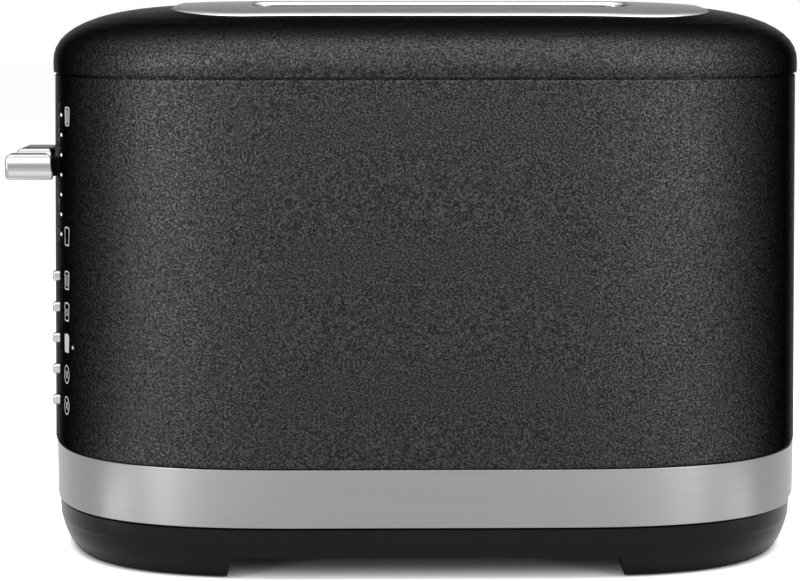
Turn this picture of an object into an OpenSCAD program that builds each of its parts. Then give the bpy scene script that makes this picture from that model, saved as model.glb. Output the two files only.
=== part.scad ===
// Long two-slot pop up toaster. Front (controls) at -X, long sides at -Y and +Y, table at z = 0.

/* [Body] */
// Length of the body at the lid seam
body_length = 280; // [274:1:290]
// Width of the body at the lid seam
body_width = 195; // [190:1:200]
// How far each side flares outward from the lid seam to the band
body_flare = 2.2; // [1.5:0.1:3]
// Length of the straight middle stretch of each long side
side_straight = 73.2; // [65:0.1:85]
// Exponent of the rounded plan outline (2 is an ellipse)
plan_power = 3; // [2.8:0.05:3.2]
// Sheet thickness of the body shell and lid
shell_wall = 1.2; // [1:0.1:1.4]
// Height of the seam between body shell and lid
seam_z = 179; // [178:0.5:181]

/* [Lid] */
// How far the lid hangs over the body
lid_overhang = 0.6; // [0.4:0.1:0.9]
// Height of the lid's upright edge
lid_edge = 4.3; // [3.5:0.1:5]
// Height of the lid's crown above its upright edge
lid_crown = 21.4; // [20:0.2:23]
// Depth of the rim that drops from the lid into the body
lip_depth = 7; // [4:0.5:9]
// Exponent of the crown's height along the toaster
crown_power_x = 2.2; // [2:0.1:2.8]
// Exponent of the crown's length along the toaster
crown_reach_x = 6.2; // [5:0.1:7]
// Exponent of the crown across the toaster
crown_power_y = 2.5; // [2.3:0.1:2.8]

/* [Slot plate] */
// Length of the polished plate round the slots
plate_length = 199.6; // [196:0.2:206]
// Width of the plate
plate_width = 138.5; // [136:0.5:142]
// Corner radius of the plate
plate_corner = 32; // [26:1:40]
// How far the plate stands above the lid
plate_lift = 0.8; // [0.6:0.1:1]
// Middle of the plate and slots, behind the middle of the body
slot_centre_x = 5.3; // [4.5:0.1:6]
// Length of each bread slot
slot_length = 140; // [136:1:142]
// Width of each bread slot
slot_width = 33; // [31:0.5:34]
// Corner radius of each bread slot
slot_corner = 6; // [4:0.5:8]
// Distance from the toaster's middle plane to the middle of a slot
slot_offset_y = 31.5; // [31:0.5:32]

/* [Band and base] */
// Height of the underside of the brushed band
band_bottom_z = 20; // [19.5:0.1:20.5]
// Height of the top of the brushed band
band_top_z = 41; // [40:0.5:42]
// Half width of the band's separate rear piece
rear_panel_half = 59; // [58.5:0.1:60]
// Height of the arch in each long side of the base
arch_height = 7.6; // [7:0.1:7.8]
// Length of the arch at the table
arch_length = 141.4; // [130:0.2:150]

/* [Controls] */
// Reach of the lever knob in front of the middle of the body
lever_reach = 156.9; // [155:0.1:158]
// Height of the middle of the lever knob at rest
lever_z = 144.5; // [142:0.5:146]
// Height of both knobs
knob_height = 9.4; // [9:0.1:10]
// Width of the lever knob
lever_width = 26; // [24:1:28]
// Width of the shade slider knob
slider_width = 11; // [10:0.5:12]
// Distance of the right-hand control column from the middle plane
column_y = 50; // [49.5:0.1:50.5]
// Height of the middle of the slider knob at rest
slider_z = 145.2; // [144:0.1:146.5]
// Number of push buttons
button_count = 5; // [5]
// Height of the top button
top_button_z = 104.7; // [104:0.1:105.5]
// Spacing of the buttons
button_pitch = 11.62; // [11.4:0.02:11.8]
// Width and height of a button
button_size = 3.8; // [3.5:0.1:4]
// How far a button stands in front of the body
button_reach = 2.1; // [1.9:0.1:2.4]

/* [Carriage] */
// Travel of the lever down from rest
travel_down = 75; // [70:1:75]
// Travel of the lever up from rest
travel_up = 19; // [15:1:19]
// Height of the bread racks at rest
rack_z = 134; // [132:1:136]
// Radius of the guide rod
rod_radius = 3; // [2.5:0.1:3.5]
// Radial clearance of running fits
running_fit = 0.05; // [0.02:0.01:0.1]
// Number of turns of the lift spring
spring_turns = 8; // [6:1:9]

/* [Heating] */
// Distance of the outer heaters from the middle plane
outer_heater_y = 62; // [61:0.5:63]
// Thickness of a mica board
mica = 0.8; // [0.6:0.1:1]
// Number of turns of ribbon on each board
ribbon_turns = 15; // [10:1:16]
// Half the gap between the two guides of a slot
guide_half_gap = 17; // [16.5:0.1:17.2]
// Number of upright wires in each guide
guide_wires = 7; // [5:1:9]

/* [Hidden] */

half_x = side_straight / 2;
corner_x = body_length / 2 - half_x;
half_y = body_width / 2;
band_shift = 0.5;
band_out = body_flare - 0.1;
rear_reach = body_length / 2 + band_out + band_shift;
shift_x = (lever_reach - rear_reach) / 2;
outline_points = 64;
crown_rings = 8;

dark_paint = [0.13, 0.13, 0.13];
steel = [0.75, 0.75, 0.74];
sheet = [0.62, 0.63, 0.64];
black_plastic = [0.09, 0.09, 0.09];
board_green = [0.1, 0.33, 0.2];
brass = [0.72, 0.58, 0.3];
mica_tan = [0.72, 0.66, 0.52];

// Plan outline: a straight stretch between two rounded ends, moved outward by d
function plan(t, d) = let (c = cos(t), s = sin(t), p = 2 / plan_power) [
    sign(c) * (half_x + (corner_x + d) * pow(abs(c), p)),
    sign(s) * (half_y + d) * pow(abs(s), p)
];
function ring(z, d, fx = 1, fy = 1) = [
    for (i = [0 : outline_points - 1])
        let (q = plan(360 * i / outline_points, d)) [q[0] * fx, q[1] * fy, z]
];

// How far the body stands out from its seam outline at height z
function flare(z) = body_flare * (seam_z - z) / (seam_z - band_top_z);

// Distance from the middle plane x = 0 to the body's end wall at width y and height z
function end_wall(y, z) = half_x
    + (corner_x + flare(z)) * pow(1 - pow(abs(y) / (half_y + flare(z)), plan_power), 1 / plan_power);

// Rings of the lid's crown, lifted by lift and moved inward by inset
function crown(lift, inset) = [
    for (k = [0 : crown_rings])
        let (
            f = (1 - pow(1 - k / crown_rings, 3)) * 0.998,
            fx = pow(1 - pow(f, crown_power_x), 1 / crown_reach_x),
            fy = pow(1 - pow(f, crown_power_y), 1 / crown_power_y)
        )
        ring(seam_z + lid_edge + f * (lid_crown + lift), lid_overhang - inset, fx, fy)
];

// Rectangle w by h with corners of radius r, as points
function rounded(w, h, r, n = 6) = [
    for (q = [0 : 3], i = [0 : n])
        let (
            a = 90 * q + 90 * i / n,
            sx = (q == 0 || q == 3) ? 1 : -1,
            sy = (q < 2) ? 1 : -1
        )
        [sx * (w / 2 - r) + r * cos(a), sy * (h / 2 - r) + r * sin(a)]
];

// Quarter arc of a knob's corner about [x, z], from angle a to angle b
function corner(x, z, r, a, b, n = 6) = [
    for (i = [0 : n]) [x + r * cos(a + (b - a) * i / n), z + r * sin(a + (b - a) * i / n)]
];

// Side outline of a knob: rounded tip at -length, back edge at 0
function knob_outline(length) = concat(
    corner(-1, -knob_height / 2 + 1, 1, -90, 0, 3),
    [[0, knob_height / 2 - 3]],
    corner(-2, knob_height / 2 - 1, 1, 0, 90, 3),
    corner(-length + 3.4, knob_height / 2 - 3.4, 3.4, 90, 180),
    corner(-length + 2.4, -knob_height / 2 + 2.4, 2.4, 180, 270)
);

// Solid skinned over a stack of rings
module loft(rings) {
    n = len(rings[0]);
    m = len(rings);
    polyhedron(
        points = [for (r = rings) each r],
        faces = concat(
            [[for (i = [0 : n - 1]) i]],
            [[for (i = [0 : n - 1]) (m - 1) * n + n - 1 - i]],
            [
                for (k = [0 : m - 2], i = [0 : n - 1])
                    let (j = (i + 1) % n) [k * n + i, (k + 1) * n + i, (k + 1) * n + j, k * n + j]
            ]
        ),
        convexity = 6
    );
}

module along_x(x0, x1) {
    translate([x0, 0, 0]) rotate([90, 0, 90]) linear_extrude(x1 - x0) children();
}

module along_y(y0, y1) {
    translate([0, y1, 0]) rotate([90, 0, 0]) linear_extrude(y1 - y0) children();
}

// Box from its low corner to its high corner
module box(low, high) {
    translate(low) cube(high - low);
}

module rod_x(x0, x1, y, z, r, facets = 24) {
    translate([x0, y, z]) rotate([0, 90, 0]) cylinder(h = x1 - x0, r = r, $fn = facets);
}

module rod_z(x, y, z0, z1, r, facets = 32) {
    translate([x, y, z0]) cylinder(h = z1 - z0, r = r, $fn = facets);
}

// ---------------------------------------------------------------- base

base_floor_z = [8.2, 11];
foot_places = [for (sx = [-1, 1], sy = [-1, 1]) [sx * 96, sy * 56]];
screw_places = [for (x = [-76, 88], sy = [-1, 1]) [x, sy * 66]];
board_posts = [for (x = [-127, -94], y = [-34, 40]) [x, y]];
gland_place = [112, -30];

// Heights and insets of the base's outer wall, from the band down to the table
base_profile = [
    [19.8, 1.2], [18.3, 1.6], [14.8, 2.3], [12.3, 3.4], [9.3, 4.8], [6.3, 6.5], [3.3, 8.6], [1.2, 11],
    [0.6, 12.4]
];

module arch() {
    lean = 3;
    along_y(-half_y - 10, half_y + 10)
        polygon([
            [-arch_length / 2, -1], [arch_length / 2, -1],
            [arch_length / 2 - lean, arch_height - 1.2], [arch_length / 2 - lean - 1.4, arch_height],
            [-arch_length / 2 + lean + 1.4, arch_height], [-arch_length / 2 + lean, arch_height - 1.2]
        ]);
}

module base_pan() color(black_plastic) difference() {
    union() {
        difference() {
            loft([
                for (k = [len(base_profile) - 1 : -1 : 0])
                    ring(base_profile[k][0], body_flare - base_profile[k][1])
            ]);
            loft([ring(base_floor_z[1], -6), ring(30, -6)]);
            loft([ring(-1, -17), ring(base_floor_z[0], -17)]);
            arch();
        }
        for (q = foot_places) rod_z(q[0], q[1], 2, base_floor_z[0] + 0.5, 9.5);
        for (q = screw_places) rod_z(q[0], q[1], base_floor_z[1] - 0.5, 20, 5);
        for (q = board_posts) rod_z(q[0], q[1], base_floor_z[1] - 0.5, 24, 3);
    }
    for (q = foot_places) rod_z(q[0], q[1], 1, 6.5, 2.55);
    for (q = screw_places) rod_z(q[0], q[1], 4, 22, 1.6);
    rod_z(gland_place[0], gland_place[1], 5, 14, 6.05);
}

module rubber_feet() color([0.06, 0.06, 0.06])
    for (q = foot_places) {
        rod_z(q[0], q[1], 0, 2, 8);
        rod_z(q[0], q[1], 1.5, 6, 2.5);
    }

module base_screws() color(steel)
    for (q = screw_places) difference() {
        union() {
            rod_z(q[0], q[1], 5.9, base_floor_z[0], 3.2);
            rod_z(q[0], q[1], 7, 24, 1.5);
        }
        for (a = [0, 90])
            translate([q[0], q[1], 6]) rotate(a) cube([4, 0.8, 2], center = true);
    }

module cord_gland() color(black_plastic) translate([gland_place[0], gland_place[1], 0])
    difference() {
        union() {
            cylinder(h = 1, r = 6);
            rod_z(0, 0, base_floor_z[0] - 1.6, base_floor_z[0], 8);
            rod_z(0, 0, base_floor_z[0] - 1, base_floor_z[1] + 4, 6);
        }
        rod_z(0, 0, -1, base_floor_z[1] + 5, 3.6);
        translate([0, 0, -1]) cylinder(h = base_floor_z[0] - 0.6, r = 9);
    }

// ---------------------------------------------------------------- band, shell, lid

module rear_gap(half, z0, z1) {
    box([60, -half, z0], [200, half, z1]);
}

module steel_band() color(steel) difference() {
    translate([band_shift, 0, 0]) difference() {
        loft([ring(band_bottom_z, band_out), ring(band_top_z, band_out)]);
        loft([ring(band_bottom_z - 1, band_out - 1.2), ring(band_top_z + 1, band_out - 1.2)]);
    }
    rear_gap(rear_panel_half, band_bottom_z - 2, band_top_z + 2);
}

module tray_handle_panel() color(steel) intersection() {
    translate([band_shift, 0, 0]) difference() {
        loft([ring(band_bottom_z + 0.6, band_out - 0.5), ring(band_top_z - 0.4, band_out - 0.5)]);
        loft([ring(band_bottom_z - 1, band_out - 3.2), ring(band_top_z + 1, band_out - 3.2)]);
    }
    rear_gap(rear_panel_half - 0.4, band_bottom_z - 2, band_top_z + 2);
}

module body_shell() color(dark_paint) difference() {
    low = band_top_z + 0.2;
    high = seam_z - 0.4;
    loft([ring(low, flare(low)), ring(high, flare(high))]);
    loft([ring(low - 1, flare(low) - shell_wall), ring(high + 1, flare(high) - shell_wall)]);
    box([-200, -2.5, lever_z - travel_down - 5], [-100, 2.5, lever_z + travel_up + 5]);
    box([-200, -column_y - 2.2, 116.5], [-100, -column_y + 2.2, 168.8]);
    for (i = [0 : button_count - 1])
        translate([0, -column_y, top_button_z - i * button_pitch])
            along_x(-200, -100) polygon(rounded(button_size + 0.5, button_size + 0.5, 1.2, 4));
}

module plate_prism(grow, z0, z1) {
    translate([slot_centre_x, 0, z0]) linear_extrude(z1 - z0)
        polygon(rounded(plate_length + 2 * grow, plate_width + 2 * grow, plate_corner + grow, 10));
}

module slot_prism(grow, z0, z1) {
    for (side = [-1, 1])
        translate([slot_centre_x, side * slot_offset_y, z0]) linear_extrude(z1 - z0)
            polygon(rounded(slot_length + 2 * grow, slot_width + 2 * grow, slot_corner + grow, 5));
}

module top_cover() color(dark_paint) {
    difference() {
        loft(concat([ring(seam_z + 0.3, lid_overhang)], crown(0, 0)));
        loft(concat([ring(seam_z - 2, lid_overhang - shell_wall)], crown(-shell_wall, shell_wall)));
        plate_prism(-4, 150, 260);
    }
    lip();
}

// Rim inside the lid that drops into the body and closes the seam
module lip() difference() {
    lip_out = lid_overhang - shell_wall + 0.3;
    union() {
        loft([ring(seam_z + 1, lip_out), ring(seam_z + 2.6, lip_out)]);
        loft([ring(seam_z - lip_depth, -1.6), ring(seam_z + 2, -1.6)]);
    }
    loft([ring(seam_z - lip_depth - 1, -2.8), ring(seam_z + 4, -2.8)]);
}

module slot_bezel() color(steel) difference() {
    union() {
        difference() {
            intersection() {
                loft(concat([ring(seam_z, lid_overhang)], crown(plate_lift, 0)));
                plate_prism(0, 150, 260);
            }
            loft(concat([ring(seam_z - 2, lid_overhang - 0.02)], crown(0.02, 0.02)));
        }
        difference() {
            intersection() {
                loft(concat([ring(seam_z, lid_overhang)], crown(plate_lift, 0)));
                plate_prism(-4.4, 150, 260);
            }
            loft(concat([ring(seam_z - 2, lid_overhang - 1.2)], crown(-0.8, 1.2)));
        }
        intersection() {
            slot_prism(0.9, 192, 260);
            loft(concat([ring(seam_z, lid_overhang)], crown(plate_lift - 0.2, 0)));
        }
    }
    slot_prism(0, 150, 260);
}

// ---------------------------------------------------------------- chassis and heating

front_plate_x = [-71, -70];
rear_plate_x = [82, 83];
rod_place = [-87, 14];
spring_place = [-87, -14];
slot_sides = [-slot_offset_y, slot_offset_y];
guide_ys = [for (c = slot_sides, s = [-1, 1]) c + s * guide_half_gap];
guide_z = 44;
mica_tabs = [[60, 72], [140, 152]];

// Openings that both chassis plates share
module plate_openings(x0, x1) {
    for (c = slot_sides)
        box([x0, c - 2.2, rack_z - travel_down - 9], [x1, c + 2.2, rack_z + travel_up + 5]);
    for (y = guide_ys) rod_x(x0, x1, y, guide_z, 1.2 + running_fit);
    for (y = [-outer_heater_y, 0, outer_heater_y], t = mica_tabs)
        box([x0, y - mica / 2 - 0.1, t[0] - 0.2], [x1, y + mica / 2 + 0.1, t[1] + 0.2]);
}

module front_chassis() color(sheet) difference() {
    union() {
        box([front_plate_x[0], -72, 20], [front_plate_x[1], 72, 183]);
        for (s = [-1, 1]) box([-82, s * 66 - 6, 20], [front_plate_x[1], s * 66 + 6, 21.2]);
        box([-93, -21, 178.5], [front_plate_x[1], 21, 180]);
        box([-93, 6, 30], [front_plate_x[1], 21, 31.5]);
    }
    plate_openings(front_plate_x[0] - 1, front_plate_x[1] + 1);
    for (q = screw_places) rod_z(q[0], q[1], 15, 25, 1.6);
    rod_z(rod_place[0], rod_place[1], 25, 190, rod_radius + 0.02);
}

module rear_chassis() color(sheet) difference() {
    union() {
        box([rear_plate_x[0], -72, 20], [rear_plate_x[1], 72, 183]);
        for (s = [-1, 1]) box([rear_plate_x[0], s * 66 - 6, 20], [94, s * 66 + 6, 21.2]);
    }
    box([80, -60, 19], [85, 60, 32]);
    plate_openings(rear_plate_x[0] - 1, rear_plate_x[1] + 1);
    for (q = screw_places) rod_z(q[0], q[1], 15, 25, 1.6);
}

// Folded sheet behind an outer heater
module reflector(side) color(sheet) {
    x0 = front_plate_x[1];
    x1 = rear_plate_x[0];
    scale_y = [side * 71, side * 71.6];
    box([x0, min(scale_y), 36], [x1, max(scale_y), 180]);
    for (z = [36, 179.4]) {
        y = [side * 66, side * 71.3];
        box([x0, min(y), z], [x1, max(y), z + 0.6]);
    }
}

module heater_board(y) color(mica_tan) {
    box([front_plate_x[1] + 0.5, y - mica / 2, 46], [rear_plate_x[0] - 0.5, y + mica / 2, 172]);
    for (t = mica_tabs)
        box([front_plate_x[0] - 1, y - mica / 2, t[0]], [rear_plate_x[1] + 1, y + mica / 2, t[1]]);
}

// Flat ribbon wound round a mica board, one band for each turn
module heater_ribbon(y) color([0.45, 0.4, 0.37]) {
    pitch = 112 / (ribbon_turns - 1);
    x = [-63, 75];
    t = 0.3;
    for (i = [0 : ribbon_turns - 1])
        translate([0, 0, 52 + i * pitch])
            for (s = [-1, 1]) {
                low = y + s * (mica / 2 + t / 2) - t / 2;
                box([x[0], low, 0], [x[1], low + t, 1.6]);
            }
    for (s = [-1, 1], i = [0 : ribbon_turns - 2]) {
        low = y + s * (mica / 2 + t / 2) - t / 2;
        end = (i % 2 == 0) ? x[0] : x[1] - 1.6;
        box([end, low, 52 + i * pitch], [end + 1.6, low + t, 53.6 + (i + 1) * pitch]);
    }
}

// ---------------------------------------------------------------- electrical parts

module mains_board() color(board_green) difference() {
    box([-131, -40, 24], [-89, 46, 25.6]);
    box([-93.5, 5, 23], [-80, 22, 27]);
}

module relay() color([0.1, 0.22, 0.42]) box([-129, 20, 25.6], [-113, 38, 41]);

module terminal_block() color([0.82, 0.82, 0.78]) difference() {
    box([-129, -37, 25.6], [-115, -7, 37]);
    for (y = [-32, -22, -12]) rod_z(-122, y, 30, 38, 2.4);
}

magnet_y = 32;

module magnet_core() color([0.5, 0.5, 0.52]) {
    box([-107, magnet_y - 6, 25.6], [-90, magnet_y + 6, 30]);
    for (x = [-107, -95]) box([x, magnet_y - 6, 29.5], [x + 5, magnet_y + 6, 51.2]);
}

module magnet_coil() color([0.6, 0.25, 0.12]) difference() {
    box([-110.5, magnet_y - 9.5, 31], [-98.5, magnet_y + 9.5, 49]);
    box([-107.2, magnet_y - 6.2, 30], [-101.8, magnet_y + 6.2, 50]);
}

board_x = [-124, -122.4];

module control_board() color(board_green)
    box([board_x[0], -66, 48], [board_x[1], -24, 176]);

module board_bracket() color(black_plastic) {
    for (z = [76, 158])
        box([board_x[1], -66, z], [front_plate_x[0], -60, z + 5]);
    box([board_x[1], -66, 56], [board_x[1] + 2, -60, 170]);
}

module shade_potentiometer() color([0.16, 0.16, 0.17]) difference() {
    box([-131, -column_y - 4.5, 113], [board_x[0], -column_y + 4.5, 171.6]);
    box([-135, -column_y - 2, 115.5], [-125, -column_y + 2, 169.5]);
}

function button_z(i) = top_button_z - i * button_pitch;

module button_switches() color([0.2, 0.2, 0.21])
    for (i = [0 : button_count - 1])
        box([-126.3, -column_y - 3, button_z(i) - 3], [board_x[0], -column_y + 3, button_z(i) + 3]);

module button_guide() color([0.85, 0.85, 0.82]) difference() {
    union() {
        box([-130.8, -column_y - 7, 52], [-129.6, -column_y + 7, 111.4]);
        for (y = [-column_y - 7, -column_y + 5.6], z = [52, 109.4])
            box([-130, y, z], [board_x[0], y + 1.4, z + 2]);
    }
    for (i = [0 : button_count - 1]) rod_x(-132, -128, -column_y, button_z(i), 1.5 + running_fit);
}

module guide_rod() color(steel) rod_z(rod_place[0], rod_place[1], 28.5, 181.5, rod_radius);

// ---------------------------------------------------------------- carriage

carriage_x = [-80, -78.6];

module carriage_plate() color(sheet) difference() {
    union() {
        box([carriage_x[0], -37, 128], [carriage_x[1], 37, 150]);
        box([-91, -18, 148.8], [carriage_x[1], -10, 150]);
    }
    for (y = [-22, 22]) rod_x(-82, -77, y, 141, 4);
    rod_z(spring_place[0], spring_place[1], 147, 152, 1.2);
}

module carriage_bush() color(brass) difference() {
    union() {
        rod_z(rod_place[0], rod_place[1], 129, 149, 6);
        box([rod_place[0], rod_place[1] - 3, 131], [carriage_x[0], rod_place[1] + 3, 147]);
    }
    rod_z(rod_place[0], rod_place[1], 120, 160, rod_radius + running_fit);
}

// Carrier under the bread: a strip on edge with cross fingers, and an arm through each chassis plate
module bread_rack(side) color(sheet) translate([0, side * slot_offset_y, rack_z]) {
    box([carriage_x[1], -1, -6], [88, 1, 0]);
    for (x = [-58 : 18 : 68]) {
        box([x, -11, -1.2], [x + 3, 11, 0]);
        for (s = [-1, 1]) box([x, s * 10.5 - 0.5, -0.6], [x + 3, s * 10.5 + 0.5, 1.6]);
    }
}

module lever_arm() color(sheet) {
    difference() {
        box([-146, -1.5, lever_z - 3.5], [carriage_x[0], 1.5, lever_z + 3.5]);
        for (x = [-130 : 12 : -94]) translate([x, 0, lever_z]) rotate([90, 0, 0])
            cylinder(h = 10, r = 2, center = true, $fn = 24);
    }
    box([-88, 0, lever_z - 3.5], [carriage_x[0], 1.4, lever_z + 4.4]);
}

module lever_knob() color(steel) difference() {
    translate([-142.6, 0, lever_z]) along_y(-lever_width / 2, lever_width / 2)
        polygon(knob_outline(lever_reach - 142.6));
    box([-146.2, -1.6, lever_z - 3.6], [-140, 1.6, lever_z + 3.6]);
}

module armature() color([0.5, 0.5, 0.52]) difference() {
    union() {
        box([-108, magnet_y - 8, 126.6], [-78.6, magnet_y + 4, 128]);
        box([-108, magnet_y - 8, 126.6], [-89, magnet_y + 8, 128]);
    }
    for (x = [-83.5]) rod_z(x, magnet_y - 3, 120, 130, 1.4);
}

// Coil of the lift spring as a swept wire, with its ends closed
module lift_spring() color(steel) {
    steps = 16;
    sides = 6;
    wire = 0.45;
    coil_r = 4;
    z0 = 150.4;
    z1 = 178.1;
    count = spring_turns * steps;
    points = [
        for (k = [0 : count], s = [0 : sides - 1])
            let (a = 360 * k / steps, b = 360 * s / sides, r = coil_r + wire * cos(b))
            [r * cos(a), r * sin(a), z0 + wire + (z1 - z0 - 2 * wire) * k / count + wire * sin(b)]
    ];
    translate([spring_place[0], spring_place[1], 0])
        polyhedron(
            points = points,
            faces = concat(
                [[for (s = [0 : sides - 1]) s]],
                [[for (s = [0 : sides - 1]) count * sides + sides - 1 - s]],
                [
                    for (k = [0 : count - 1], s = [0 : sides - 1])
                        let (t = (s + 1) % sides)
                        [k * sides + s, (k + 1) * sides + s, (k + 1) * sides + t, k * sides + t]
                ]
            ),
            convexity = 10
        );
}

// Wire grid beside the bread, which leans in about its bottom wire as the carriage goes down
module bread_guide(i) color(steel) {
    y = guide_ys[i];
    x = [-62, 74];
    pitch = (x[1] - x[0]) / (guide_wires - 1);
    rod_x(-73.5, 85.5, y, guide_z, 1.2);
    rod_x(x[0] - 2, x[1] + 2, y, 176, 1.2);
    for (k = [0 : guide_wires - 1]) rod_z(x[0] + k * pitch, y, guide_z, 176, 0.9, 20);
}

// ---------------------------------------------------------------- controls

slider_tip = 154.8;
slider_back = 136.9;

module shade_stem() color(black_plastic) {
    box([-146, -column_y - 1.7, slider_z - 3.5], [-125.4, -column_y + 1.7, slider_z + 3.5]);
}

module shade_knob() color(steel) difference() {
    translate([-slider_back, 0, slider_z])
        along_y(-column_y - slider_width / 2, -column_y + slider_width / 2)
            polygon(knob_outline(slider_tip - slider_back));
    translate([-slider_back, -column_y - slider_width / 2, 100]) rotate(17)
        translate([0, -40, 0]) cube([40, 80, 100]);
    box([-146.2, -column_y - 1.8, slider_z - 3.6], [-130, -column_y + 1.8, slider_z + 3.6]);
}

// Push button: cap through the shell, flange behind it, plunger through the button guide
module button(i) color(steel) {
    z = button_z(i);
    wall = end_wall(column_y, z);
    translate([0, -column_y, z]) {
        along_x(-wall - button_reach, -wall + 3.2) polygon(rounded(button_size, button_size, 1, 4));
        rod_x(-wall + 3.2, -132.6, 0, 0, 3.2);
        rod_x(-133, -128.2, 0, 0, 1.5);
    }
}

// ---------------------------------------------------------------- crumb tray

module crumb_tray() color(sheet) {
    x = [-66, 130];
    difference() {
        box([x[0], -57, 22.5], [x[1], 57, 28]);
        box([x[0] + 0.8, -56.2, 23.3], [x[1] - 0.8, 56.2, 30]);
    }
    box([x[1] - 0.5, -20, 22.5], [138.6, 20, 24]);
}

// ---------------------------------------------------------------- drawing

module place() {
    translate([shift_x, 0, 0]) children();
}

place() base_pan();
place() rubber_feet();
place() base_screws();
place() steel_band();
place() body_shell();
place() top_cover();
place() slot_bezel();
place() front_chassis();
place() rear_chassis();
place() reflector(1);  // reflector_left
place() reflector(-1);  // reflector_right
place() heater_board(outer_heater_y);  // heater_board_left
place() heater_board(0);  // heater_board_center
place() heater_board(-outer_heater_y);  // heater_board_right
place() heater_ribbon(outer_heater_y);  // heater_ribbon_left
place() heater_ribbon(0);  // heater_ribbon_center
place() heater_ribbon(-outer_heater_y);  // heater_ribbon_right
place() guide_rod();
place() mains_board();
place() relay();
place() terminal_block();
place() magnet_core();
place() magnet_coil();
place() control_board();
place() board_bracket();
place() shade_potentiometer();
place() button_switches();
place() button_guide();
place() cord_gland();
place() carriage_plate();
place() carriage_bush();
place() bread_rack(1);  // bread_rack_left
place() bread_rack(-1);  // bread_rack_right
place() lever_arm();
place() lever_knob();
place() armature();
place() lift_spring();
place() bread_guide(0);  // bread_guide_1
place() bread_guide(1);  // bread_guide_2
place() bread_guide(2);  // bread_guide_3
place() bread_guide(3);  // bread_guide_4
place() shade_stem();
place() shade_knob();
place() button(0);  // button_1
place() button(1);  // button_2
place() button(2);  // button_3
place() button(3);  // button_4
place() button(4);  // button_5
place() crumb_tray();
place() tray_handle_panel();
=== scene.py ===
"""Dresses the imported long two-slot toaster: shells, knobs, marks and a finish on every part."""
import math

import bmesh
import bpy
from mathutils import Matrix, Vector


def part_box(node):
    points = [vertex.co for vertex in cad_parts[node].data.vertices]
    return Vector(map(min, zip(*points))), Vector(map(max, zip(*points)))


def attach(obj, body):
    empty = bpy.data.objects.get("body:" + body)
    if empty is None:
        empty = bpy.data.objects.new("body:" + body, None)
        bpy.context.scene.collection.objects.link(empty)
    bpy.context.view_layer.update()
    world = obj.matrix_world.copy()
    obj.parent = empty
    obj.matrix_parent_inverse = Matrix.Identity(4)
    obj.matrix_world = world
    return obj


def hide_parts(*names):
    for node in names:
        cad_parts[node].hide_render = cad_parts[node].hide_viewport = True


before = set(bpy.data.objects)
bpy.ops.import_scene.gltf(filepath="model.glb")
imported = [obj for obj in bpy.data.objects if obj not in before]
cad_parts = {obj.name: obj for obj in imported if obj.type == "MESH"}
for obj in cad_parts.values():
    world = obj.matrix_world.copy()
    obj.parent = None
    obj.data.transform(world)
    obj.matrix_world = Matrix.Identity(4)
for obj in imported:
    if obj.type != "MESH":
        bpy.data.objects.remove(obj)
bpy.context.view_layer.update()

bl_info = {
    "name": "Long Slot Toaster",
    "version": (1, 0, 0),
    "blender": (4, 5, 0),
    "location": "View3D > Sidebar > Toaster",
    "description": "Builds the shells, controls and finishes of a long two-slot toaster",
    "category": "Add Mesh",
}

MM = 0.001


# ---------------------------------------------------------------- sizes from the frame

def node_box(node):
    low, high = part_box(node)
    return Vector(low), Vector(high)


def box_centre(node):
    low, high = node_box(node)
    return (low + high) / 2


SHELL_LOW, SHELL_HIGH = node_box("body_shell")
PLATE_LOW, PLATE_HIGH = node_box("slot_bezel")
BAND_LOW, BAND_HIGH = node_box("steel_band")
PANEL_LOW, PANEL_HIGH = node_box("tray_handle_panel")
CENTRE_X = (SHELL_LOW.x + SHELL_HIGH.x) / 2
PLATE_MIDDLE_X = (PLATE_LOW.x + PLATE_HIGH.x) / 2 - CENTRE_X


# ---------------------------------------------------------------- properties

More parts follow.
